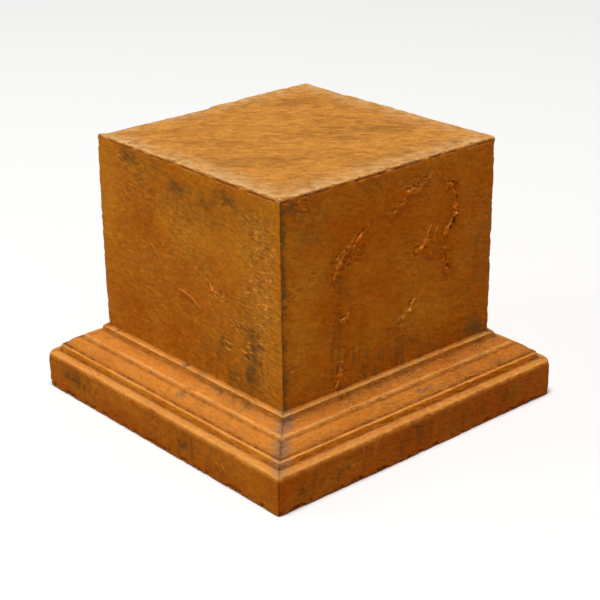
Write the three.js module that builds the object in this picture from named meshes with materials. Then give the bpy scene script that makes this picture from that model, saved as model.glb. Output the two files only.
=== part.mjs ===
// A low square garden pedestal in cast stone: a plain block, called the die,
// on a moulded base and a square plinth, all cast as one piece.
// Millimetres, +Z up, origin at the middle of the underside.

import * as THREE from "three";

// The block that the pedestal carries its load on
const dieWidth = 302;
const dieHeight = 223.5;
const dieArris = 3; // rounding of the top edge
const dieCorner = 2.5; // rounding of the four upright edges
const dieFootCove = 1.2; // small hollow where the die meets the moulding

// The moulding's members, from the die downwards and outwards.
// Each has a projection, which is how far it steps out, and a height, which is how far it falls.
const upperFillet = { projection: 6, height: 4, arris: 2 };
const cavetto = { projection: 13.5, height: 8.5 };
const quirk = { projection: 3.5, height: 3.5, lip: 0.5 };
const ovolo = { projection: 14, height: 9.5, bulge: 3 };
const lowerFillet = { projection: 6, height: 6.5, flat: 3.6, arris: 0.9 };
const reveal = { projection: 9, height: 2 }; // the strip of the plinth's top that still shows

// The square slab that it all stands on
const plinthHeight = 42;
const plinthArris = 3.2; // rounding of the plinth's upper edge
const plinthFoot = 1.8; // rounding of its lower edge
const plinthCorner = 4.5; // rounding of its four upright edges

// How finely the rounded forms are faceted
const cornerSteps = 6;
const curveSteps = 7;
const arrisSteps = 3;

const members = [upperFillet, cavetto, quirk, ovolo, lowerFillet, reveal];
const sumOf = (key) => members.reduce((sum, member) => sum + member[key], 0);
const dieHalf = dieWidth / 2;
const plinthHalf = dieHalf + sumOf("projection");
const dieFoot = plinthHeight + sumOf("height");
const top = dieFoot + dieHeight;

// Draws the section from the top edge of the die down to the underside.
// In it, x is the half width of the pedestal and y is the height above the ground.
class Section {
  constructor(x, y) {
    this.points = [new THREE.Vector2(x, y)];
  }

  get end() {
    return this.points[this.points.length - 1];
  }

  lineTo(x, y) {
    this.points.push(new THREE.Vector2(x, y));
  }

  // A curve that bends towards a control point, left smooth at both of its ends
  bend(cx, cy, x, y, steps) {
    const curve = new THREE.QuadraticBezierCurve(
      this.end,
      new THREE.Vector2(cx, cy),
      new THREE.Vector2(x, y),
    );
    this.points.push(...curve.getPoints(steps).slice(1));
  }

  // An eased corner on the way from the section's end to (x, y)
  turn(cornerX, cornerY, x, y, easing) {
    const corner = new THREE.Vector2(cornerX, cornerY);
    const next = new THREE.Vector2(x, y);
    const from = corner.clone().lerp(this.end, easing / corner.distanceTo(this.end));
    const to = corner.clone().lerp(next, easing / corner.distanceTo(next));
    this.lineTo(from.x, from.y);
    this.bend(cornerX, cornerY, to.x, to.y, arrisSteps);
  }

  // A hollow quarter turn that starts plumb and ends level
  hollow(projection, height, steps) {
    const { x, y } = this.end;
    const arc = new THREE.EllipseCurve(
      x + projection,
      y,
      projection,
      height,
      Math.PI,
      1.5 * Math.PI,
    );
    this.points.push(...arc.getPoints(steps).slice(1));
  }
}

function pedestalSection() {
  const section = new Section(dieHalf - dieArris, top);
  section.bend(dieHalf, top, dieHalf, top - dieArris, arrisSteps);

  // Die, down to a small cove on the upper fillet
  section.lineTo(dieHalf, dieFoot + dieFootCove);
  section.bend(dieHalf, dieFoot, dieHalf + dieFootCove, dieFoot, arrisSteps);

  // Upper fillet: a narrow shelf that ends in a softened edge
  let x = dieHalf + upperFillet.projection;
  let y = dieFoot - upperFillet.height;
  section.turn(x, dieFoot, x, y, upperFillet.arris);
  section.lineTo(x, y);

  // Cavetto
  section.hollow(cavetto.projection, cavetto.height, curveSteps);
  x += cavetto.projection;
  y -= cavetto.height;

  // Quirk: the short drop that parts the cavetto from the ovolo
  section.lineTo(x + quirk.lip, y);
  x += quirk.projection;
  y -= quirk.height;
  section.lineTo(x, y);

  // Ovolo: a long slope with a slight swell
  const ovoloFoot = { x: x + ovolo.projection, y: y - ovolo.height };
  section.bend(
    (x + ovoloFoot.x) / 2 + (ovolo.bulge * ovolo.height) / ovolo.projection,
    (y + ovoloFoot.y) / 2 + ovolo.bulge,
    ovoloFoot.x,
    ovoloFoot.y,
    curveSteps,
  );
  ({ x, y } = ovoloFoot);

  // Lower fillet: a level edge, then a face that leans out to the plinth
  const edge = { x: x + lowerFillet.flat, y };
  x += lowerFillet.projection;
  y -= lowerFillet.height;
  section.turn(edge.x, edge.y, x, y, lowerFillet.arris);
  section.lineTo(x, y);

  // Plinth, below a reveal that falls a little towards the plinth's edge
  section.turn(plinthHalf, plinthHeight, plinthHalf, 0, plinthArris);
  section.turn(plinthHalf, 0, 0, 0, plinthFoot);
  return section.points;
}

// A square with rounded corners, counter-clockwise from above
function ring(half, height) {
  const share = (half - dieHalf) / (plinthHalf - dieHalf);
  const radius = Math.max(
    THREE.MathUtils.lerp(dieCorner, plinthCorner, share),
    dieCorner / 2,
  );
  const centre = half - radius;
  const points = [];
  for (let corner = 0; corner < 4; corner++) {
    const start = (corner * Math.PI) / 2;
    const middle = start + Math.PI / 4;
    const cx = Math.sign(Math.cos(middle)) * centre;
    const cy = Math.sign(Math.sin(middle)) * centre;
    for (let step = 0; step <= cornerSteps; step++) {
      const angle = start + (step / cornerSteps) * (Math.PI / 2);
      points.push(
        new THREE.Vector3(
          cx + radius * Math.cos(angle),
          cy + radius * Math.sin(angle),
          height,
        ),
      );
    }
  }
  return points;
}

// Joins a stack of rings, listed from the top down, into one closed solid
function loft(rings) {
  const count = rings[0].length;
  const indices = [];
  for (let level = 0; level + 1 < rings.length; level++) {
    for (let i = 0; i < count; i++) {
      const next = (i + 1) % count;
      const upper = level * count;
      const lower = upper + count;
      indices.push(upper + i, lower + i, lower + next);
      indices.push(upper + i, lower + next, upper + next);
    }
  }
  const outline = (points) => points.map((p) => new THREE.Vector2(p.x, p.y));
  const last = (rings.length - 1) * count;
  const topFaces = THREE.ShapeUtils.triangulateShape(outline(rings[0]), []);
  const baseFaces = THREE.ShapeUtils.triangulateShape(
    outline(rings[rings.length - 1]),
    [],
  );
  for (const [a, b, c] of topFaces) indices.push(a, b, c);
  for (const [a, b, c] of baseFaces) indices.push(last + a, last + c, last + b);

  const geometry = new THREE.BufferGeometry().setFromPoints(rings.flat());
  geometry.setIndex(indices);
  geometry.computeVertexNormals();
  return geometry;
}

function pedestal() {
  const rings = pedestalSection().map((point) => ring(point.x, point.y));
  const rustStain = new THREE.MeshStandardMaterial({
    color: 0xa8641c,
    roughness: 0.85,
    metalness: 0,
    flatShading: true,
  });
  const mesh = new THREE.Mesh(loft(rings), rustStain);
  mesh.name = "pedestal";
  return mesh;
}

const part = new THREE.Group();
part.name = "square_pedestal";
part.add(pedestal());

export default part;
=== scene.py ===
from math import atan2, hypot, pi, radians

import bmesh
import bpy
import numpy as np
from mathutils import Matrix, Vector, noise


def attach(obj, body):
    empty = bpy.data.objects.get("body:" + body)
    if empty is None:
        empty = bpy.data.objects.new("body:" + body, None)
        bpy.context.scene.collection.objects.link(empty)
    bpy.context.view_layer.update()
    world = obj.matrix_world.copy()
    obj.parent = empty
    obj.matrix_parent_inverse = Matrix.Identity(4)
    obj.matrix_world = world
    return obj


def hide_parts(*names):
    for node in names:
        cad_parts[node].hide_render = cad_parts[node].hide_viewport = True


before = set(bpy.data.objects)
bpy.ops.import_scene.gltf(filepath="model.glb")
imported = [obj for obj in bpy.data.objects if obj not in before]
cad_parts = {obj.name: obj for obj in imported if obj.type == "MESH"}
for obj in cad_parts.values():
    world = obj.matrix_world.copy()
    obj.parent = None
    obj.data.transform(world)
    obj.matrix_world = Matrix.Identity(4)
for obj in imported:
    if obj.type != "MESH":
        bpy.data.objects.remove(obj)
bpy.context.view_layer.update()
mm = 0.001  # relief and marks are worked out in millimetres, Blender's units are metres
print("frame loaded")


# Camera at the photo's angle, worked out from the pedestal's corners in it

camera = {
    "lens": 92.89,  # mm
    "sensor": 36,  # mm, the width of a square picture
    "eye": (1.1974, -1.0453, 0.7758),
    "target": (0.0025, 0.0029, 0.1082),
    "roll": -0.656,  # degrees
}


def addCamera():
    data = bpy.data.cameras.new("camera")
    data.lens = camera["lens"]
    data.sensor_width = camera["sensor"]
    obj = bpy.data.objects.new("camera", data)
    bpy.context.collection.objects.link(obj)
    obj.location = camera["eye"]
    look = Vector(camera["target"]) - obj.location
    facing = look.to_track_quat("-Z", "Y").to_matrix() @ Matrix.Rotation(radians(camera["roll"]), 3, "Z")
    obj.rotation_euler = facing.to_euler()
    bpy.context.scene.camera = obj


# Studio: a pale floor, a soft light high overhead, towards the camera, and a weak one from the left

studio = {
    "floorSize": 40.0,
    "floorDrop": 0.0005,  # below the pedestal's foot
    "floorColour": (0.80, 0.795, 0.785),
    "floorRoughness": 0.9,
    "floorShine": 0.1,
    "overhead": {"place": (0.57, -1.15, 10.1), "size": 3.7, "watts": 1185},
    "left": {"place": (-1.6, -2.6, 1.5), "size": 1.4, "watts": 13},
    "aim": (0, 0, 0.15),  # both lights point at it
    "sky": 0.12,
}


def addLight(name, place, size, watts):
    data = bpy.data.lights.new(name, "AREA")
    data.shape = "DISK"
    data.size = size
    data.energy = watts
    obj = bpy.data.objects.new(name, data)
    bpy.context.collection.objects.link(obj)
    obj.location = place
    obj.rotation_euler = (Vector(studio["aim"]) - obj.location).to_track_quat("-Z", "Y").to_euler()


def addStudio():
    half = studio["floorSize"] / 2
    mesh = bpy.data.meshes.new("floor")
    corners = [(-half, -half, 0), (half, -half, 0), (half, half, 0), (-half, half, 0)]
    mesh.from_pydata(corners, [], [(0, 1, 2, 3)])
    floor = bpy.data.objects.new("floor", mesh)
    floor.location.z = -studio["floorDrop"]
    bpy.context.collection.objects.link(floor)
    paper = bpy.data.materials.new("paper")
    paper.use_nodes = True
    shader = paper.node_tree.nodes["Principled BSDF"]
    shader.inputs["Base Color"].default_value = (*studio["floorColour"], 1)
    shader.inputs["Roughness"].default_value = studio["floorRoughness"]
    shader.inputs["Specular IOR Level"].default_value = studio["floorShine"]
    mesh.materials.append(paper)
    for name in ("overhead", "left"):
        addLight(name, **studio[name])
    world = bpy.data.worlds.new("room")
    world.use_nodes = True
    sky = world.node_tree.nodes["Background"]
    sky.inputs["Color"].default_value = (1, 1, 1, 1)
    sky.inputs["Strength"].default_value = studio["sky"]
    bpy.context.scene.world = world
    bpy.context.scene.view_settings.view_transform = "Standard"


addCamera()
addStudio()
print("camera and studio set")


# The casting: a fine mesh on the CAD solid's own section, then worn, marked and thinned.
# Its sides and corners are numbered from the photo's left side and left corner round by the front.

casting = {
    "lines": 360,  # mesh lines along each side
    "turnLines": 6,  # and round each upright edge, an even number
    "dieCorner": 2.5,  # mm, rounding of the die's upright edges
    "plinthCorners": (8.0, 3.5, 9.0, 7.0),  # mm, and of the plinth's four
    "dieStep": 0.85,  # mm between lines down the die
    "baseStep": 0.75,  # mm between lines down the moulding and the plinth
    "triangles": 190000,  # that the thinned mesh keeps
}


def cutSection(node):
    # Where the plane x = 0 cuts the solid's front, as (half width, height) in mm from the top edge down
    bm = bmesh.new()
    bm.from_mesh(node.data)
    everything = bm.verts[:] + bm.edges[:] + bm.faces[:]
    cut = bmesh.ops.bisect_plane(bm, geom=everything, plane_co=(0, 0, 0), plane_no=(1, 0, 0))["geom_cut"]
    ends = [e.co for e in cut if isinstance(e, bmesh.types.BMVert) and e.co.y < 0]
    outline = {(round(-co.y / mm, 2), round(co.z / mm, 2)) for co in ends}
    bm.free()
    rims = {}  # of the flat top and the flat underside only the outermost point counts
    for level in (min(z for _, z in outline), max(z for _, z in outline)):
        rims[level] = max(half for half, z in outline if z == level)
    kept = [(half, z) for half, z in outline if half == rims.get(z, half)]
    return sorted(kept, key=lambda point: (-point[1], point[0]))


section = cutSection(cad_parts["pedestal"])
dieFace = max(zip(section, section[1:]), key=lambda pair: pair[0][1] - pair[1][1])
dieHalf = dieFace[0][0]
dieFoot = min(z for half, z in section if half == dieHalf)
topHeight = section[0][1]
plinthHalf = max(half for half, _ in section)
plinthTop = max(z for half, z in section if half == plinthHalf)
sideOut = np.array([(0, -1), (1, 0), (0, 1), (-1, 0)])
sideAlong = np.array([(1, 0), (0, 1), (-1, 0), (0, -1)])


def fineSection():
    rows = [section[0]]
    for (half, z), (nextHalf, nextZ) in zip(section, section[1:]):
        step = casting["dieStep"] if nextZ >= dieFoot else casting["baseStep"]
        parts = max(1, round(hypot(nextHalf - half, nextZ - z) / step))
        for share in np.arange(1, parts + 1) / parts:
            rows.append((half + (nextHalf - half) * share, z + (nextZ - z) * share))
    return rows


def ring(half, z):
    # One line round the casting, from the middle of its left corner
    turns = np.linspace(0, pi / 4, casting["turnLines"] // 2 + 1)[1:]
    before, after = turns[::-1], turns[:-1]
    plan = []
    for side in range(4):
        corners = casting["plinthCorners"][side], casting["plinthCorners"][(side + 1) % 4]
        first, last = (np.interp(half, (dieHalf, plinthHalf), (casting["dieCorner"], r)) for r in corners)
        straight = np.linspace(first - half, half - last, casting["lines"] + 1)
        across = straight[0] - first * np.sin(before), straight, straight[-1] + last * np.sin(after)
        level = np.full(len(straight), half)
        out = half - first + first * np.cos(before), level, half - last + last * np.cos(after)
        across, out = np.concatenate(across), np.concatenate(out)
        plan.append(sideAlong[side] * across[:, None] + sideOut[side] * out[:, None])
    plan = np.vstack(plan)
    return np.column_stack((plan, np.full(len(plan), z)))


def cap(rim, start, fresh, upward):
    # Fills a ring, whose vertices begin at start, with a square grid; new vertices are numbered from fresh
    size = len(rim) // 4
    index = np.full((size + 1, size + 1), -1)
    steps = np.arange(size)
    index[steps, 0] = start + steps
    index[size, steps] = start + size + steps
    index[size - steps, size] = start + 2 * size + steps
    index[0, size - steps] = start + 3 * size + steps
    inner = index < 0
    x, y = np.meshgrid(rim[: size + 1, 0], rim[size : 2 * size + 1, 1], indexing="ij")
    points = np.column_stack((x[inner], y[inner], np.full(inner.sum(), rim[0, 2])))
    index[inner] = fresh + np.arange(len(points))
    corners = (index[:-1, :-1], index[1:, :-1], index[1:, 1:], index[:-1, 1:])
    quads = np.stack(corners, axis=-1).reshape(-1, 4)
    return points, quads if upward else quads[:, ::-1]  # turned over, so that the underside faces down


def castingMesh():
    rings = [ring(half, z) for half, z in fineSection()]
    columns = len(rings[0])
    row = np.arange(len(rings) - 1)[:, None] * columns
    column = np.arange(columns)[None, :]
    after = (column + 1) % columns
    quads = np.stack((row + column, row + columns + column, row + columns + after, row + after), axis=-1)
    wall = len(rings) * columns
    topPoints, topQuads = cap(rings[0], 0, wall, True)
    basePoints, baseQuads = cap(rings[-1], wall - columns, wall + len(topPoints), False)
    points = np.vstack(rings + [topPoints, basePoints])
    quads = np.vstack((quads.reshape(-1, 4), topQuads, baseQuads))
    mesh = bpy.data.meshes.new("pedestalCasting")
    mesh.vertices.add(len(points))
    mesh.vertices.foreach_set("co", (points * mm).ravel())
    mesh.loops.add(quads.size)
    mesh.loops.foreach_set("vertex_index", quads.ravel())
    mesh.polygons.add(len(quads))
    mesh.polygons.foreach_set("loop_start", np.arange(len(quads)) * 4)
    mesh.update(calc_edges=True)
    return mesh


def readPoints(mesh):
    flat = np.empty(len(mesh.vertices) * 3)
    mesh.vertices.foreach_get("co", flat)
    return flat.reshape(-1, 3) / mm


def readNormals(mesh):
    flat = np.empty(len(mesh.vertices) * 3)
    mesh.vertices.foreach_get("normal", flat)
    return flat.reshape(-1, 3)


# Where a point is: its side, how far along that side, how far out, and how near hollows and edges

def whereabouts(points):
    reach = points[:, :2] @ sideOut.T
    side = reach.argmax(axis=1)
    along = (points[:, :2] * sideAlong[side]).sum(axis=1)
    return side, along, reach.max(axis=1), points[:, 2]


def turningPoints():
    # Each bend of the section, with its angle: above 0 in a hollow, below 0 on an edge
    path = [(0, topHeight)] + section
    bends = []
    for (h0, z0), (h1, z1), (h2, z2) in zip(path, path[1:], path[2:]):
        angle = atan2(z2 - z1, h2 - h1) - atan2(z1 - z0, h1 - h0)
        bends.append((h1, z1, angle))
    return bends


def nearBends(half, z, sign, reach):
    near = np.zeros(len(half))
    for bendHalf, bendZ, angle in turningPoints():
        if angle * sign > radians(17):  # the cavetto's and the ovolo's own curve stays out of it
            near += abs(angle) * np.exp(-((half - bendHalf) ** 2 + (z - bendZ) ** 2) / (2 * reach**2))
    return np.clip(near, 0, 1)


def soften(value, low, high):
    share = np.clip((value - low) / (high - low), 0, 1)
    return share * share * (3 - 2 * share)


def bell(value, reach, centre=0.0):
    # 1 at its centre, and next to nothing twice its reach away
    return np.exp(-(((value - centre) / reach) ** 2))


def spot(x, y, wide, tall):
    return np.exp(-((x / wide) ** 2) - (y / tall) ** 2)


def turned(x, y, angle):
    # How far a place lies along a direction at that angle, and how far across it
    return x * np.cos(angle) + y * np.sin(angle), y * np.cos(angle) - x * np.sin(angle)


def layered(points, layer):
    # Blender's noise at each point, with lumps of the layer's size; the offset gives it its own pattern
    places = (points / layer["size"] + layer["offset"]).tolist()
    return np.array([noise.fractal(place, 1.0, 2.0, layer["octaves"]) for place in places]) * layer["depth"]


# The trowel's strokes run one way on the sides and another on the top

strokes = {
    "sideSlopes": (-3, -16, -9, -9),  # degrees on each side, falling to the right
    "topHeading": 49,  # degrees, from +X towards +Y
    "topScale": 0.68,  # the smaller this is, the larger the top's strokes
    "stretch": 3.4,  # how much longer than wide
    "topBand": 1.2,  # mm, the top's strokes reach this far down its edge
    "apart": 1000,  # mm between the sides' stretches of the pattern, so that none repeats
}


def alongStrokes(points):
    # Each point's distance along the strokes and across them, in mm
    side, along, half, z = whereabouts(points)
    onTop = z > topHeight - strokes["topBand"]
    topRun, topAcross = turned(points[:, 0], points[:, 1], radians(strokes["topHeading"]))
    fall = z - (half - dieHalf)
    run, across = turned(along, fall, np.radians(strokes["sideSlopes"])[side])
    first = np.where(onTop, topRun * strokes["topScale"], run + strokes["apart"] * (side + 1))
    return first, np.where(onTop, topAcross * strokes["topScale"], across)


# Marks on each side, in mm: along the side from its middle, then height above the ground.
# A tear is a ragged cut with a lit lower lip, crumbs are places where the skin is coarse,
# a scratch is a fine line with a raised lip, and a pit is a small hole, or a lump if its depth is below 0.
# After its places a tear has its depth, a crumb its reach and its share, and a pit its reach and its depth.

marks = [
    {
        "tears": [([(40, 183), (47, 176), (53, 171)], 0.5)],
        "scratches": [
            [(-24, 161), (-13, 159), (1, 158), (10, 155), (19, 150), (30, 148)],
            [(112, 27), (117, 20), (124, 14)],
            [(104, 25), (110, 17)],
            [(-62, 199), (-54, 194), (-48, 189)],
            [(-40, 205), (-36, 201)],
        ],
        "crumbs": [
            (91, 151, 7, 1.8), (76, 148, 6, 1.4), (66, 122, 8, 1.8), (100, 125, 9, 1.4),
            (117, 136, 9, 1.8), (116, 158, 8, 1.6), (128, 178, 12, 0.9), (99, 189, 12, 0.9),
            (126, 190, 20, 0.7), (112, 165, 40, 0.5), (112, 205, 16, 0.8), (132, 215, 10, 1.2),
            (108, 228, 16, 0.7), (124, 240, 14, 0.7), (128, 245, 18, 0.8), (110, 262, 14, 0.6),
            (125, 265, 12, 0.7), (128, 99, 8, 0.7), (122, 83, 9, 0.6), (30, 105, 14, 0.4),
            (55, 174, 7, 1.3), (6, 211, 8, 0.5), (66, 226, 7, 0.5), (-10, 230, 24, 0.4),
            (-27, 194, 8, 0.5), (-63, 191, 10, 0.6), (-66, 149, 8, 0.4), (-70, 100, 10, 0.7),
            (-60, 236, 16, 0.5), (-96, 246, 14, 0.5), (-106, 280, 9, 0.9), (-110, 178, 16, 0.4),
            (-50, 160, 80, 0.2), (60, 140, 60, 0.25), (-90, 255, 40, 0.2),
            (-110, 30, 16, 0.4), (115, 20, 12, 0.6), (0, 24, 20, 0.4),
        ],
        "pits": [
            (-129, 75, 3, 1.0), (-5, 75, 4, 1.0), (154, 68, 3, 1.0), (-1, 39, 5, 0.8),
            (60, 66, 2.5, 0.8),
        ],
    },
    {
        "tears": [
            ([(-8, 251), (-3, 253), (6, 257), (13, 262), (18, 271), (34, 273), (53, 279)], 1.8),
            ([(76, 270), (88, 262), (91, 251), (94, 240), (94, 229), (86, 215), (77, 204)], 1.25),
            ([(77, 193), (78, 176), (84, 167)], 1.4),
            ([(24, 200), (29, 202), (39, 205), (53, 214)], 1.5),
            ([(-83, 222), (-79, 224), (-63, 230), (-50, 237), (-42, 245), (-34, 249)], 1.35),
            ([(-85, 200), (-78, 218), (-68, 227)], 0.8),
            ([(-80, 148), (-72, 156), (-63, 160)], 1.2),
            ([(-82, 78), (-76, 104), (-70, 116)], 1.0),
            ([(4, 131), (7, 132), (19, 137), (31, 149)], 1.6),
        ],
        "scratches": [[(47, 203), (50, 216), (58, 227)], [(60, 200), (62, 214), (68, 224)]],
        "crumbs": [
            (-118, 290, 16, 0.9), (40, 275, 7, 1.0), (90, 258, 6, 1.0), (-50, 229, 9, 0.9),
            (-62, 217, 13, 1.0), (-48, 213, 6, 0.7), (20, 218, 10, 0.8), (90, 222, 7, 0.8),
            (-76, 192, 9, 0.9), (-60, 177, 9, 0.7), (-77, 160, 8, 0.9), (-78, 130, 8, 0.8),
            (-76, 98, 8, 0.8), (-77, 72, 8, 0.8), (15, 185, 8, 0.7), (60, 190, 8, 0.6),
            (80, 185, 8, 0.6), (80, 171, 6, 1.0), (90, 160, 10, 0.4), (106, 125, 4, 0.8),
            (8, 120, 12, 0.5), (-110, 210, 10, 0.4), (-142, 200, 12, 0.6), (-142, 120, 12, 0.6),
            (20, 60, 20, 0.4), (70, 58, 24, 0.45), (125, 57, 24, 0.4), (-40, 60, 20, 0.3),
            (-105, 20, 14, 0.4),
        ],
        "pits": [(91, 60, 3, 1.2), (130, 55, 3.5, -1.4), (86, 226, 2.2, 1.0)],
    },
]


# The two sides that the photo doesn't show have marks of the same kinds, and rather fewer

backSides = {
    "seeds": (21, 34),
    "reach": 125,  # mm either way from a side's middle
    "margin": 25,  # mm from the die's foot and from its top
    "tears": 2,
    "tearDepth": (0.6, 1.1),
    "crumbs": 12,
    "crumbReach": (8, 20),
    "crumbShare": (0.2, 0.7),
    "pits": 3,
}


def weatheredSide(seed):
    dice = np.random.default_rng(seed)
    reach, margin = backSides["reach"], backSides["margin"]

    def somewhere():
        return dice.uniform(-reach, reach), dice.uniform(dieFoot + margin, topHeight - margin)

    tears = []
    for _ in range(backSides["tears"]):
        along, z = somewhere()
        line = [(along, z)]
        for _ in range(dice.integers(3, 6)):
            along += dice.uniform(6, 13)
            z += dice.uniform(-4, 8)
            line.append((along, z))
        tears.append((line, dice.uniform(*backSides["tearDepth"])))
    along, z = somewhere()
    scratches = [[(along, z), (along + 22, z - 8), (along + 40, z - 13)]]
    crumbs = []
    for _ in range(backSides["crumbs"]):
        place = somewhere()
        size, share = dice.uniform(*backSides["crumbReach"]), dice.uniform(*backSides["crumbShare"])
        crumbs.append((*place, size, share))
    pits = []
    for _ in range(backSides["pits"]):  # on the moulding
        place = dice.uniform(-150, 150), dice.uniform(45, 75)
        pits.append((*place, dice.uniform(2.5, 4), dice.uniform(0.9, 1.6)))
    return {"tears": tears, "scratches": scratches, "crumbs": crumbs, "pits": pits}


marks += [weatheredSide(seed) for seed in backSides["seeds"]]


def besideLine(along, z, line):
    # How far each point is from the line, above 0 on its lower side, and its share of the way along it
    lengths = [hypot(b[0] - a[0], b[1] - a[1]) for a, b in zip(line, line[1:])]
    nearest = np.full(len(along), np.inf)
    offset = np.full(len(along), np.inf)
    share = np.zeros(len(along))
    done = 0
    for (a, b), length in zip(zip(line, line[1:]), lengths):
        step = ((b[0] - a[0]) / length, (b[1] - a[1]) / length)
        run = (along - a[0]) * step[0] + (z - a[1]) * step[1]
        rise = (z - a[1]) * step[0] - (along - a[0]) * step[1]
        short = np.clip(run, 0, length)
        distance = np.hypot(run - short, rise)
        closer = distance < nearest
        nearest[closer] = distance[closer]
        offset[closer] = np.where(rise[closer] > 0, -distance[closer], distance[closer])
        share[closer] = (done + short[closer]) / sum(lengths)
        done += length
    return offset, share


# How a mark is shaped across its line. "at" is mm below the line, and a tint is painted shade above 0
# and a painted highlight on the raw skin below it.

tearShape = {
    "across": (-4, -1, 0, 1.0, 3.8, 7.5),  # mm from the tear's line, downwards
    "rise": (0, 0.15, 0.2, -1, 0.45, 0),  # shares of the tear's depth
    "taper": 8,  # the greater this is, the blunter its ends
    "wander": 1.8,  # mm
    "ragged": {"size": 6.0, "octaves": 4, "depth": 1.5, "offset": 22.2},
    "strength": 0.85,  # before the raggedness is added
    "strongest": 1.4,
    "cut": {"at": 0.1, "reach": 1.0, "tint": 0.9},
    "lip": {"at": 2.6, "reach": 1.6, "tint": -0.6},
    "skin": {"at": 3, "reach": 6, "share": 0.6},  # the coarse skin round it
}

scratchShape = {
    "taper": 4,
    "wander": 0.5,
    # the ridge's tint is a painted highlight, the groove's a painted shadow
    "ridge": {"at": 0, "reach": 1.0, "rise": 1.1, "tint": -0.85},
    "grooveAndShadow": {"at": 2.0, "reach": 1.0, "rise": -0.9, "tint": 0.35},
}

lumpShape = {  # of the lumps on the tears' lower lips
    "every": 2.0,  # mm along the line
    "below": (2.4, 2.2),  # mm below it, and the spread of that
    "width": (0.9, 1.9),
    "height": (0.4, 0.8),  # shares of the width
    "turn": 0.5,  # radians, the spread about the line's own direction
    "stretch": 1.9,  # how much longer than wide
    "dip": 0.35,  # the hollow below each, as a share of its height
    # the tint is a painted highlight on each lump
    "tint": -0.45,
}

pitShape = {"edge": 1.5, "tint": 0.3}  # the greater the edge, the steeper its wall, and its tint is painted shade in the pit


def lumpsOn(sideMarks, dice):
    # Every small lump along a side's tears: along, height, width, rise and turn
    lumps = []
    for line, _ in sideMarks["tears"]:
        for (x0, y0), (x1, y1) in zip(line, line[1:]):
            length = hypot(x1 - x0, y1 - y0)
            for _ in range(round(length / lumpShape["every"])):
                share, below = dice.uniform(), abs(dice.normal(*lumpShape["below"]))
                x = x0 + (x1 - x0) * share + (y1 - y0) / length * below
                y = y0 + (y1 - y0) * share - (x1 - x0) / length * below
                size = dice.uniform(*lumpShape["width"])
                turn = atan2(y1 - y0, x1 - x0) + dice.normal(0, lumpShape["turn"])
                lumps.append((x, y, size, size * dice.uniform(*lumpShape["height"]), turn))
    return lumps


lumpDice = np.random.default_rng(5)
lumps = [lumpsOn(sideMarks, lumpDice) for sideMarks in marks]


def fading(share, taper):
    # 1 along a line's length and 0 at both of its ends
    return np.clip(taper * np.minimum(share - 0.01, 0.99 - share), 0, 1)


def markedFace(index, along, z, ragged):
    # How far a side's marks push its face out, in mm, and their tint: above 0 painted shade, below 0
    # painted highlight on raw skin
    depth = np.zeros(len(along))
    tint = np.zeros(len(along))
    for line, deep in marks[index]["tears"]:
        offset, share = besideLine(along, z, line)
        offset = offset + tearShape["wander"] * ragged
        strength = np.clip(tearShape["strength"] + ragged, 0, tearShape["strongest"])
        strength = fading(share, tearShape["taper"]) * strength
        depth += deep * strength * np.interp(offset, tearShape["across"], tearShape["rise"])
        for part in (tearShape["cut"], tearShape["lip"]):
            tint += part["tint"] * strength * bell(offset, part["reach"], part["at"])
    for line in marks[index]["scratches"]:
        offset, share = besideLine(along, z, line)
        offset = offset + scratchShape["wander"] * ragged
        for part in (scratchShape["ridge"], scratchShape["grooveAndShadow"]):
            stroke = fading(share, scratchShape["taper"]) * bell(offset, part["reach"], part["at"])
            depth += part["rise"] * stroke
            tint += part["tint"] * stroke
    for x, y, wide, tall, turn in lumps[index]:
        near = np.flatnonzero((np.abs(along - x) < 6 * wide) & (np.abs(z - y) < 6 * wide))
        run, rise = turned(along[near] - x, z[near] - y, turn)
        long = lumpShape["stretch"] * wide
        lump = spot(run, rise, long, wide)
        dip = spot(run, rise + 2 * wide, long, wide)
        depth[near] += tall * (lump - lumpShape["dip"] * dip)
        tint[near] += lumpShape["tint"] * lump
    for centre, height, reach, deep in marks[index]["pits"]:
        away = np.hypot(along - centre, z - height)
        pit = np.exp(-((away / reach) ** (2 * pitShape["edge"])))
        depth -= deep * pit
        tint += pitShape["tint"] * pit
    return depth, tint


def coarseness(index, along, z):
    coarse = np.zeros(len(along))
    for centre, height, reach, share in marks[index]["crumbs"]:
        coarse = np.maximum(coarse, share * spot(along - centre, z - height, reach, reach))
    skin = tearShape["skin"]
    for line, _ in marks[index]["tears"]:
        offset, _ = besideLine(along, z, line)
        coarse = np.maximum(coarse, skin["share"] * bell(offset, skin["reach"], skin["at"]))
    return coarse


# How uneven the casting is, in mm. A layer of noise has the size of its lumps, how many finer ones
# they carry, its depth and an offset. Some count only above "least", and "onSlope" is the moulding's share.

uneven = {
    "sway": {"size": 110, "octaves": 2, "depth": 0.8, "offset": 3.7},
    "lumps": {"size": 22, "octaves": 3, "depth": 0.26, "offset": 7.4},
    "troweled": {"size": 7.0, "octaves": 3, "depth": 0.30, "offset": 11.1, "onSlope": 0.45},
    "chips": {"size": 14, "octaves": 3, "depth": 1.8, "offset": 14.8, "least": 0.25, "onSlope": 0.6},
    "chipReach": (1.8, 3.0),  # round the section's edges, and beside the upright ones
    "teeth": {"size": 4.2, "octaves": 2, "depth": 1.4, "offset": 18.5, "onUpright": 0.7},
    "teethReach": (2.4, 3.0),  # beside the die's upright edges, and up from the ground
    "footChips": {"size": 8, "octaves": 3, "depth": 16.0, "offset": 25.0, "least": 0.9, "most": 4},
    "footReach": 4.2,  # up from the ground, of the foot's chips
    "rimGroove": {"below": 3.1, "width": 0.8, "depth": 0.8, "waves": (9.0, 4.1)},  # below the top edge
    "lowEdge": {"side": 3, "from": -9, "ramp": 11, "depth": 2.2, "reach": 7},  # worn stretch at the top
    "softCorners": {"first": (0, 2), "depth": 1.7, "reach": 8},  # of the plinth and the upper fillet
}


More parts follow.
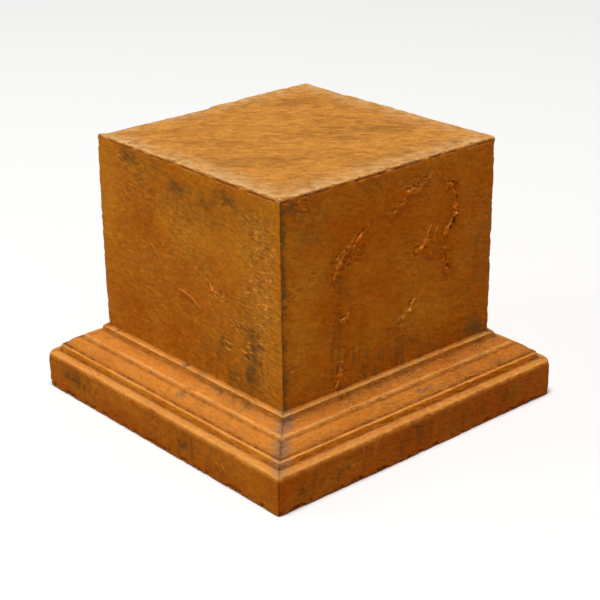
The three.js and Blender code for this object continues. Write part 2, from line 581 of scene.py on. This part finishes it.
def rimLine(z, along, sway):
    # The groove below the top edge, which comes and goes
    line = uneven["rimGroove"]
    height = topHeight - line["below"] - 0.8 * sway
    comesAndGoes = soften(sum(np.sin(along / wave) for wave in line["waves"]), -1.5, 0.2)
    return bell(z - height, line["width"]) * comesAndGoes


def relief(points, normals):
    side, along, half, z = whereabouts(points)
    fromCorner = np.abs(half - np.abs(along))
    notBelow = normals[:, 2] > -0.9
    sway = layered(points, uneven["sway"])
    lumps = layered(points, uneven["lumps"])
    depth = sway + lumps

    # The trowel's strokes, on all but the underside
    troweled = uneven["troweled"]
    seen = np.flatnonzero(normals[:, 2] > -0.5)
    first, second = alongStrokes(points[seen])
    drawn = np.column_stack((first / strokes["stretch"], second, lumps[seen] * 6))
    onSlope = (z[seen] < dieFoot) & (z[seen] > plinthTop - 2)
    depth[seen] += layered(drawn, troweled) * np.where(onSlope, troweled["onSlope"], 1.0)

    # The worn stretch of the top edge and the softened corners
    low = uneven["lowEdge"]
    worn = spot(dieHalf - half, topHeight - z, low["reach"], low["reach"]) * (side == low["side"])
    depth -= low["depth"] * worn * soften(along, low["from"], low["from"] + low["ramp"])
    soft = uneven["softCorners"]
    level = np.maximum(bell(z - plinthTop - 2, 5), bell(z - dieFoot + 1, 3))
    rounded = level * bell(fromCorner, soft["reach"])
    depth -= soft["depth"] * rounded * np.isin((side + (along > 0)) % 4, soft["first"])

    # Chips along every edge, teeth along the upright edges and the foot, and the foot's larger chips
    chips = uneven["chips"]
    edgeReach, uprightReach = uneven["chipReach"]
    upright = bell(fromCorner, uprightReach) * (z < topHeight - 0.5)
    edge = np.maximum(nearBends(half, z, -1, edgeReach), upright)
    edge[(z < dieFoot + 1) & (z > plinthTop + 1)] *= chips["onSlope"]
    near = np.flatnonzero((edge > 0.05) & notBelow)
    depth[near] -= edge[near] * np.maximum(layered(points[near], chips) - chips["least"], 0)
    teeth = uneven["teeth"]
    uprightReach, groundReach = uneven["teethReach"]
    onDie = (z > dieFoot + 1) & (z < topHeight - 1)
    rough = np.maximum(bell(fromCorner, uprightReach) * onDie * teeth["onUpright"], bell(z, groundReach))
    near = np.flatnonzero((rough > 0.05) & notBelow)
    depth[near] -= rough[near] * np.maximum(layered(points[near], teeth), 0)
    chips = uneven["footChips"]
    near = np.flatnonzero((z < 9) & (half > plinthHalf - 5) & (normals[:, 2] > -0.95))
    bite = np.clip(layered(points[near], chips) - chips["least"], 0, chips["most"])
    depth[near] -= bell(z[near], uneven["footReach"]) * bite
    depth -= uneven["rimGroove"]["depth"] * rimLine(z, along, sway) * (np.abs(half - dieHalf) < 3)

    for index in range(4):
        here = np.flatnonzero((side == index) & (z < topHeight - 1))
        ragged = layered(points[here], tearShape["ragged"])
        depth[here] += markedFace(index, along[here], z[here], ragged)[0]
    return depth


def wornCasting():
    mesh = castingMesh()
    points = readPoints(mesh)
    normals = readNormals(mesh)
    points += normals * relief(points, normals)[:, None]
    points[:, 2] = np.maximum(points[:, 2], 0)
    mesh.vertices.foreach_set("co", (points * mm).ravel())
    mesh.update()
    print("fine mesh of", len(mesh.polygons), "faces worn")
    rough = bpy.data.objects.new("rough", mesh)
    bpy.context.collection.objects.link(rough)
    thin = rough.modifiers.new("thin", "DECIMATE")
    thin.use_collapse_triangulate = True
    thin.ratio = casting["triangles"] / (2 * len(mesh.polygons))
    thinned = bpy.data.meshes.new_from_object(rough.evaluated_get(bpy.context.evaluated_depsgraph_get()))
    thinned.name = "pedestalCasting"
    bpy.data.objects.remove(rough)
    bpy.data.meshes.remove(mesh)
    thinned.shade_smooth()
    piece = bpy.data.objects.new("pedestalCasting", thinned)
    bpy.context.collection.objects.link(piece)
    print("thinned to", len(thinned.polygons), "triangles")
    return piece


pedestal = wornCasting()


# Where the stain settled: one value per point and kind, which the finish below reads.
# Each blot is given on its side by along, height and reach both ways, in mm.

stains = {
    "hollowReach": 1.3,  # mm round each hollow of the section, painted darker there as shade
    "wornReach": 1.2,  # mm round each edge that is rubbed
    "rimBand": 22,  # mm, the paler band along the top's edges
    "mitreReach": (17.0, 3.4),  # mm beside the moulding's corners: the haze, and the dark line in it
    "uprightReach": 2.0,  # mm beside the other corners, of the dark line down each
    "shadedEdge": (1, 8.0),  # side whose first upright edge is dark on the die, and how far, in mm
    "drift": {"size": 20, "octaves": 3, "depth": 8, "offset": 30.0},  # mm that blots wander along a side
    "sink": {"size": 20, "octaves": 3, "depth": 8, "offset": 40.0},  # and up and down it
    "patchy": {"size": 12, "octaves": 3, "depth": 0.6, "offset": 50.0},  # thins the umber here and there
    "warmthAndSideShade": (0.55, 0.12, 0.35, 0.45),  # each side's share of gold against red, the right side's low share partly painted shade
    "smoothness": (1.0, 0.75, 1.0, 1.0),  # of the moulding's skin on each side
    "umber": [
        [(-90, 289, 15, 8), (-46, 290, 11, 7), (-15, 273, 19, 9), (34, 275, 24, 8), (66, 279, 26, 10),
         (104, 108, 10, 28), (105, 145, 8, 9), (-150, 27, 19, 9), (50, 22, 6, 9),
         (63, 122, 8, 16), (75, 88, 12, 16), (-70, 262, 18, 9)],
        [(-136, 284, 11, 11), (-166, 16, 16, 14), (128, 88, 18, 14), (-123, 22, 18, 16), (-5, 26, 22, 12),
         (40, 14, 20, 6)],
        [(-70, 284, 30, 10), (35, 266, 30, 14), (110, 285, 16, 10), (60, 110, 18, 32), (-90, 24, 14, 8)],
        [(-20, 286, 28, 10), (90, 270, 24, 14), (-112, 200, 18, 40), (20, 100, 22, 26), (120, 22, 14, 8)],
    ],
    "veil": [
        [(20, 256, 90, 20), (-85, 282, 30, 14), (72, 276, 30, 13), (108, 258, 30, 24), (104, 115, 24, 40),
         (20, 198, 26, 16),
         (-150, 26, 26, 12), (60, 24, 30, 10)],
        [(-115, 262, 34, 26), (-20, 284, 70, 12), (20, 98, 60, 20), (125, 84, 30, 20), (135, 22, 50, 14),
         (140, 180, 40, 90)],
        [(-60, 270, 60, 22), (70, 120, 40, 50), (0, 22, 60, 12)],
        [(40, 272, 70, 20), (-100, 180, 30, 60), (60, 20, 50, 12)],
    ],
    "slate": [
        [(-129, 75, 7, 3), (-5, 75, 8, 3), (22, 74, 6, 3), (57, 69, 11, 4), (107, 69, 13, 4),
         (-1, 39, 7, 2.5), (52, 45, 6, 2), (80, 45, 5, 2), (20, 58, 12, 2.5), (-40, 61, 10, 2)],
        [(91, 62, 16, 2.5), (130, 55, 4, 2.5), (20, 57, 14, 2)],
        [(-60, 68, 14, 4), (40, 75, 8, 3), (110, 58, 14, 4)],
        [(-100, 66, 12, 4), (10, 68, 16, 4), (90, 46, 12, 2)],
    ],
    "ochre": [
        [(125, 255, 24, 40), (125, 190, 30, 50), (95, 235, 34, 30), (132, 120, 16, 30), (-135, 230, 16, 60),
         (20, 230, 50, 20), (140, 24, 60, 16), (-70, 28, 70, 10)],
        [(-125, 180, 22, 80), (40, 110, 40, 40), (-120, 22, 40, 14), (150, 20, 30, 10)],
        [(20, 180, 50, 50), (-110, 130, 26, 40)],
        [(-60, 150, 40, 50), (100, 200, 30, 50)],
    ],
    "redRust": [
        [(-95, 110, 30, 34), (-10, 130, 46, 44), (-70, 215, 34, 30), (-60, 12, 40, 14), (100, 10, 40, 9)],
        [(80, 225, 14, 60), (-75, 190, 14, 50), (20, 95, 50, 20), (90, 92, 34, 18), (107, 21, 26, 14),
         (-139, 291, 12, 6), (-10, 240, 40, 30), (-20, 22, 24, 14), (90, 58, 100, 9)],
        [(0, 240, 40, 24), (90, 150, 30, 40), (-100, 20, 30, 12)],
        [(60, 120, 40, 34), (-50, 250, 34, 20), (30, 22, 34, 12)],
    ],
    "topTone": [  # on the top, by x, y, reach along and across the strokes, and strength; browner above 0
        (40, 45, 40, 22, 0.8), (60, 100, 34, 14, 0.7), (60, -70, 50, 16, 0.6), (-10, -60, 46, 12, 0.5),
        (-60, 10, 50, 18, -0.7), (30, -20, 40, 14, -0.6), (100, 90, 34, 14, -0.5), (-100, -90, 40, 16, 0.3),
        (-90, 90, 50, 22, 0.35), (120, 20, 30, 18, 0.3), (-20, 100, 46, 12, -0.4),
    ],
    "streaked": [
        [(98, 112, 34, 48), (45, 95, 34, 30), (60, 24, 60, 18), (-130, 24, 40, 16)],
        [(-20, 95, 90, 34), (-77, 130, 10, 90), (0, 22, 180, 18)],
        [(60, 110, 50, 44)],
        [(20, 100, 60, 40)],
    ],
}


def topTone(x, y):
    tone = np.zeros(len(x))
    for centreX, centreY, long, wide, strength in stains["topTone"]:
        run, across = turned(x - centreX, y - centreY, radians(strokes["topHeading"]))
        tone += strength * spot(run, across, long, wide)
    return tone


def blots(kind, side, along, z):
    spread = np.zeros(len(along))
    for index, places in enumerate(stains[kind]):
        here = np.flatnonzero(side == index)
        for centre, height, wide, tall in places:
            blot = spot(along[here] - centre, z[here] - height, wide, tall)
            spread[here] = np.maximum(spread[here], blot)
    return spread


def addStains(mesh):
    points = readPoints(mesh)
    side, along, half, z = whereabouts(points)
    first, second = alongStrokes(points)
    fromCorner = np.abs(half - np.abs(along))
    onTop = soften(z, topHeight - 2.5, topHeight - 0.6)
    below = 1 - onTop
    drift = layered(points, stains["drift"])
    sink = layered(points, stains["sink"])
    patchy = np.clip(0.7 + layered(points, stains["patchy"]), 0, 1)
    warmthAndSideShade = np.array(stains["warmthAndSideShade"])[side]
    warmthAndSideShade += 0.45 * blots("ochre", side, along + drift, z + sink)
    warmthAndSideShade -= 0.40 * blots("redRust", side, along + drift, z + sink)
    mitreReach, mitreLine = stains["mitreReach"]
    onMoulding = (z > plinthTop + 2) & (z < dieFoot + 1)
    facingPhoto = np.where((points[:, 0] > 0) & (points[:, 1] < 0), 1.0, 0.5)
    flatFace = soften(z, dieFoot - 1, dieFoot + 2) + soften(-z, -plinthTop, 3 - plinthTop)
    shaded = (side == stains["shadedEdge"][0]) & (along < 0) & (z > dieFoot)
    edgeReach = np.where(shaded, stains["shadedEdge"][1], stains["uprightReach"])
    tint = np.zeros(len(points))
    coarse = np.zeros(len(points))
    for index in range(4):
        here = np.flatnonzero((side == index) & (z < topHeight - 1))
        ragged = layered(points[here], tearShape["ragged"])
        tint[here] = markedFace(index, along[here], z[here], ragged)[1]
        coarse[here] = coarseness(index, along[here] + drift[here] / 2, z[here] + sink[here] / 2)
    grooveAndShadow = rimLine(z, along, layered(points, uneven["sway"]))
    # The lowest fillet and the plinth's edge keep more of the sides' colour
    steep = np.where(z < plinthTop + 12, 0.35, 0.05)
    facingUp = soften(readNormals(mesh)[:, 2], steep, steep + 0.4)
    moulded = soften(-z, -dieFoot - 1, -dieFoot) * soften(z, plinthTop - 3, plinthTop)
    layers = {
        "strokeRun": first,
        "strokeAcross": second,
        "round": along + 1000 * side,
        "warmthAndSideShade": warmthAndSideShade,
        "umber": blots("umber", side, along + drift, z + sink) * patchy * below,
        "veil": blots("veil", side, along + drift, z + sink) * below,
        "slate": blots("slate", side, along + drift / 2, z) * below,
        "mitre": bell(fromCorner, mitreReach) * onMoulding * facingPhoto,
        "mitreLine": bell(fromCorner, mitreLine) * onMoulding * facingPhoto,
        "coarse": coarse * below,
        "streaked": blots("streaked", side, along + drift, z) * below,
        "hollowShade": nearBends(half, z, 1, stains["hollowReach"]) * below * (z < dieFoot - 2),
        "worn": nearBends(half, z, -1, stains["wornReach"]) * (z > 10) * facingUp,
        # tan where the stain was rubbed off, and painted light: paler on faces that look up, and on the
        # cavetto to lift the shade under the upper fillet
        "rubbedAndLit": np.maximum(facingUp, 0.8 * ((z > plinthTop + 12) & (z < dieFoot - 4))),
        "smooth": moulded * np.array(stains["smoothness"])[side],
        "topFace": onTop,
        "topRim": onTop * bell(dieHalf - half, stains["rimBand"]),
        "upright": bell(fromCorner, edgeReach) * below * flatFace * np.where(shaded, 1, 0.6),
        "topTone": topTone(points[:, 0] + drift, points[:, 1] + sink) * onTop,
        # where painted shade darkens the plinth's faces
        "plinthFace": soften(-z, -plinthTop - 2.4, 1 - plinthTop),
        "shelf": soften(half, plinthHalf - 10, plinthHalf - 8) * soften(z, plinthTop - 3, plinthTop - 1),
        # where the painted shadow under the top edge's lip goes
        "rimLine": grooveAndShadow * (np.abs(half - dieHalf) < 4),
        "markShadeAndHighlight": tint,
    }
    for name, values in layers.items():
        mesh.attributes.new(name, "FLOAT", "POINT").data.foreach_set("value", values.astype(np.float32))


addStains(pedestal.data)
print("stains placed")


# The finish: rust and ochre stain rubbed into cast stone. Colours are linear, sizes in mm.

finish = {
    "gold": (0.575, 0.200, 0.010),
    "rust": (0.43, 0.095, 0.001),
    "umber": (0.165, 0.076, 0.013),
    "slate": (0.23, 0.125, 0.060),
    "haze": (0.27, 0.142, 0.072),
    "soot": (0.13, 0.060, 0.012),
    # the top's gold and brown are greyer than the sides' gold, partly as painted sheen
    "topGold": (0.57, 0.235, 0.040),
    "topBrown": (0.36, 0.140, 0.026),
    "plinthShade": (0.82, 0.69, 0.45),  # painted shade, multiplied onto the plinth's faces
    "rimTan": (0.61, 0.36, 0.155),
    "tan": (0.590, 0.208, 0.031),
    "tanShade": (0.515, 0.159, 0.020),
    "greyTan": (0.46, 0.175, 0.042),
    "dust": (0.80, 0.370, 0.095),
    # painted shade, for the section's hollows and the groove under the top edge
    "creviceShade": (0.17, 0.040, 0.005),
    "rawAndHighlight": (1.55, 1.42, 1.15),  # multiplied onto the lumps, ridges and lips, as painted highlight on the raw skin
    "cut": (0.34, 0.28, 0.25),  # and into the tears, pits and grooves, as painted shade
    "litGrit": (1.75, 1.80, 1.60),  # and onto the coarse skin's crumbs, as painted highlight
    "gritShade": (0.60, 0.55, 0.55),  # and between them, as painted shade
    "billow": (38, 6, 0.6, 0.4),  # a cloud's size, detail, roughness and distortion
    "mottle": (11, 5, 0.6, 0.3),
    "speck": (4.0, 3, 0.55),
    "fineStrokes": (11, 4.8, 4, 0.6, 0.6),  # a stroke's length and width, then the same three
    "wideStrokes": (30, 16, 6, 0.6, 1.2),
    "sweeps": (80, 30, 5, 0.58, 1.5),
    "ticks": (8.5, 3.5, 1, 0.5, 0.2),
    "drips": (8, 50, 4, 0.6, 0.6),  # round the casting, then downwards
    "roughness": (0.65, 0.88),
    "shine": 0.03,
    "strokeDepth": 3.4,
    "pebbleDepth": 2.3,
    "gritDepth": 3.2,
}


class Paint:
    # A material's nodes, built by short calls that each give back the new node's output

    def __init__(self, name):
        self.material = bpy.data.materials.new(name)
        self.material.use_nodes = True
        self.tree = self.material.node_tree
        self.shader = self.tree.nodes["Principled BSDF"]
        self.places = self.tree.nodes.new("ShaderNodeTexCoord").outputs["Object"]

    def put(self, socket, value):
        if isinstance(value, bpy.types.NodeSocket):
            self.tree.links.new(value, socket)
        else:
            socket.default_value = value

    def node(self, kind, inputs, **settings):
        node = self.tree.nodes.new("ShaderNode" + kind)
        for name, value in settings.items():
            setattr(node, name, value)
        for name, value in inputs.items():
            self.put(node.inputs[name], value)
        return node.outputs[0]

    def painted(self, name):
        node = self.tree.nodes.new("ShaderNodeAttribute")
        node.attribute_name = name
        return node.outputs["Fac"]

    def plus(self, first, second):
        return self.node("Math", {0: first, 1: second}, operation="ADD")

    def times(self, first, second):
        return self.node("Math", {0: first, 1: second}, operation="MULTIPLY")

    def less(self, first, second):
        return self.node("Math", {0: first, 1: second}, operation="SUBTRACT")

    def between(self, value, low, high, least=0.0, most=1.0):
        inputs = {"Value": value, "From Min": low, "From Max": high, "To Min": least, "To Max": most}
        return self.node("MapRange", inputs, interpolation_type="SMOOTHSTEP")

    def broken(self, value, pattern, amount):
        # The value, pushed up and down by a pattern
        return self.plus(value, self.times(self.less(pattern, 0.5), amount))

    def cloud(self, size, detail=4.0, roughness=0.55, distortion=0.0):
        inputs = {"Vector": self.places, "Scale": 1000 / size, "Detail": detail}
        return self.node("TexNoise", {**inputs, "Roughness": roughness, "Distortion": distortion})

    def drawn(self, run, across, long, wide, detail=4.0, roughness=0.55, distortion=0.0):
        # Noise drawn out along one direction, from two painted distances in mm
        vector = self.node("CombineXYZ", {0: self.times(run, 1 / long), 1: self.times(across, 1 / wide)})
        inputs = {"Vector": vector, "Scale": 1.0, "Detail": detail}
        return self.node("TexNoise", {**inputs, "Roughness": roughness, "Distortion": distortion})

    def over(self, base, top, amount, how="MIX"):
        # Colours given by name are the finish's own
        node = self.tree.nodes.new("ShaderNodeMix")
        node.data_type = "RGBA"
        node.blend_type = how
        for index, value in ((0, amount), (6, base), (7, top)):
            colour = (*finish[value], 1) if isinstance(value, str) else value
            self.put(node.inputs[index], colour)
        return node.outputs[2]


def paintCasting():
    paint = Paint("rustStainedStone")
    run, across = paint.painted("strokeRun"), paint.painted("strokeAcross")
    height = paint.node("SeparateXYZ", {0: paint.places})
    height = paint.times(height.node.outputs[2], 1 / mm)
    billow, mottle, speck = (paint.cloud(*finish[name]) for name in ("billow", "mottle", "speck"))
    fineStrokes = paint.drawn(run, across, *finish["fineStrokes"])
    wideStrokes = paint.drawn(run, across, *finish["wideStrokes"])
    sweeps = paint.drawn(run, across, *finish["sweeps"])
    ticks = paint.drawn(run, across, *finish["ticks"])
    coarse = paint.painted("coarse")
    litGrit = paint.times(paint.between(ticks, 0.54, 0.64), coarse)
    gritShade = paint.times(paint.between(ticks, 0.48, 0.40), coarse)
    drips = paint.drawn(paint.painted("round"), height, *finish["drips"])
    below = paint.less(1.0, paint.painted("topFace"))

    # Gold against red on the sides, with the right side redder and darker partly as painted shade
    shift = paint.times(paint.less(billow, 0.5), 1.2)
    shift = paint.broken(paint.broken(shift, wideStrokes, 1.3), mottle, 0.5)
    warmthAndSideShade = paint.painted("warmthAndSideShade")
    base = paint.over("rust", "gold", paint.between(paint.plus(warmthAndSideShade, shift), -0.35, 1.25))

    # The moulding and the plinth's top, tan where the stain was rubbed off and partly as painted light, and
    # the brushed top
    patches = paint.plus(paint.times(sweeps, 0.5), paint.times(billow, 0.5))
    patches = paint.plus(patches, paint.times(paint.less(warmthAndSideShade, 0.4), 0.25))
    slope = paint.over("tanShade", "tan", paint.between(patches, 0.30, 0.62))
    slope = paint.over(slope, "greyTan", paint.between(wideStrokes, 0.48, 0.66, 0, 0.5))
    base = paint.over(base, slope, paint.times(paint.painted("rubbedAndLit"), 0.92))
    brushed = paint.plus(paint.times(sweeps, 0.3), paint.times(wideStrokes, 0.4))
    brushed = paint.plus(brushed, paint.times(fineStrokes, 0.3))
    brushed = paint.broken(brushed, billow, 0.25)
    brushed = paint.plus(brushed, paint.times(paint.painted("topTone"), -0.10))
    # the top's greyer colours are partly painted sheen
    brushed = paint.over("topBrown", "topGold", paint.between(brushed, 0.33, 0.60))
    rim = paint.times(paint.painted("topRim"), paint.between(mottle, 0.36, 0.62, 0.12, 0.85))
    base = paint.over(base, paint.over(brushed, "rimTan", rim), paint.painted("topFace"))

    # Darker where the stain pooled, and painted shade in the section's hollows and under the top edge's lip
    patches = paint.plus(paint.painted("umber"), paint.times(paint.painted("veil"), 0.52))
    patches = paint.broken(patches, wideStrokes, 1.1)
    patches = paint.broken(patches, ticks, -1.6)
    patches = paint.broken(patches, mottle, 0.9)
    base = paint.over(base, "umber", paint.times(paint.between(patches, 0.05, 1.45, 0, 0.85), below))
    patches = paint.broken(paint.painted("slate"), mottle, 2.0)
    base = paint.over(base, "slate", paint.times(paint.between(patches, 0.30, 1.2, 0, 0.75), below))
    patches = paint.broken(paint.painted("mitre"), mottle, 2.2)
    base = paint.over(base, "haze", paint.between(patches, 0.20, 1.1, 0, 0.85))
    patches = paint.broken(paint.broken(paint.painted("mitreLine"), mottle, 2.5), ticks, 2.5)
    base = paint.over(base, "soot", paint.between(patches, 0.6, 1.3, 0, 0.8))
    lines = paint.times(paint.painted("streaked"), paint.between(drips, 0.45, 0.70, 0, 0.75))
    base = paint.over(base, "umber", lines)
    # Painted shade, darker in each hollow of the section
    paintedHollowShade = paint.times(paint.painted("hollowShade"), paint.between(mottle, 0.36, 0.62, 0.45, 0.95))
    base = paint.over(base, "creviceShade", paintedHollowShade)
    patches = paint.broken(paint.broken(paint.painted("upright"), ticks, 1.3), mottle, 2.2)
    base = paint.over(base, "soot", paint.times(paint.between(patches, 0.35, 1.15, 0, 0.85), below))
    # Painted shadow along the groove under the top edge's lip
    grooveAndShadow = paint.painted("rimLine")
    base = paint.over(base, "creviceShade", paint.times(grooveAndShadow, 0.7))

    # Paler on rubbed edges, and on the raw lips of tears as painted highlight, with painted shade in the
    # tears' cuts
    rubbedEdge = paint.times(paint.painted("worn"), paint.between(billow, 0.30, 0.65, 0.35, 0.9))
    base = paint.over(base, "dust", paint.times(rubbedEdge, paint.less(1.0, grooveAndShadow)))
    shelf = paint.times(paint.painted("shelf"), paint.between(mottle, 0.35, 0.6, 0.08, 0.32))
    base = paint.over(base, "dust", shelf)
    base = paint.over(base, "dust", paint.times(paint.times(coarse, warmthAndSideShade), 0.2))
    # Painted shade in the tears' cuts, pits and scratches' grooves, painted highlight on the raw lips,
    # lumps and ridges
    markShadeAndHighlight = paint.painted("markShadeAndHighlight")
    base = paint.over(base, "cut", paint.between(markShadeAndHighlight, 0.1, 0.9), "MULTIPLY")
    base = paint.over(base, "rawAndHighlight", paint.between(markShadeAndHighlight, -0.05, -0.85), "MULTIPLY")

    # The crumbs' own light and shade, painted shade on the plinth's faces, and the grain
    # Painted highlight on the crumbs and painted shade between them
    base = paint.over(base, "litGrit", litGrit, "MULTIPLY")
    base = paint.over(base, "gritShade", gritShade, "MULTIPLY")
    base = paint.over(base, "plinthShade", paint.painted("plinthFace"), "MULTIPLY")
    shade = paint.plus(paint.times(fineStrokes, 0.6), paint.times(speck, 0.4))
    shade = paint.between(shade, 0.34, 0.66, 0.84, 1.13)
    drag = paint.between(paint.painted("smooth"), 0, 1, 1.0, 0.6)  # less of the grain on the moulding
    base = paint.over(base, shade, drag, "MULTIPLY")
    paint.put(paint.shader.inputs["Base Color"], base)
    paint.put(paint.shader.inputs["Roughness"], paint.between(mottle, 0.35, 0.65, *finish["roughness"]))
    paint.put(paint.shader.inputs["Specular IOR Level"], finish["shine"])

    inputs = {"Height": fineStrokes, "Distance": finish["strokeDepth"] * mm, "Strength": drag}
    bump = paint.node("Bump", inputs)
    inputs = {"Height": speck, "Distance": finish["pebbleDepth"] * mm, "Strength": drag, "Normal": bump}
    bump = paint.node("Bump", inputs)
    bump = paint.node("Bump", {"Height": litGrit, "Distance": finish["gritDepth"] * mm, "Normal": bump})
    paint.put(paint.shader.inputs["Normal"], bump)
    return paint.material


pedestal.data.materials.append(paintCasting())
print("finish painted")

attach(pedestal, "root")
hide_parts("pedestal")
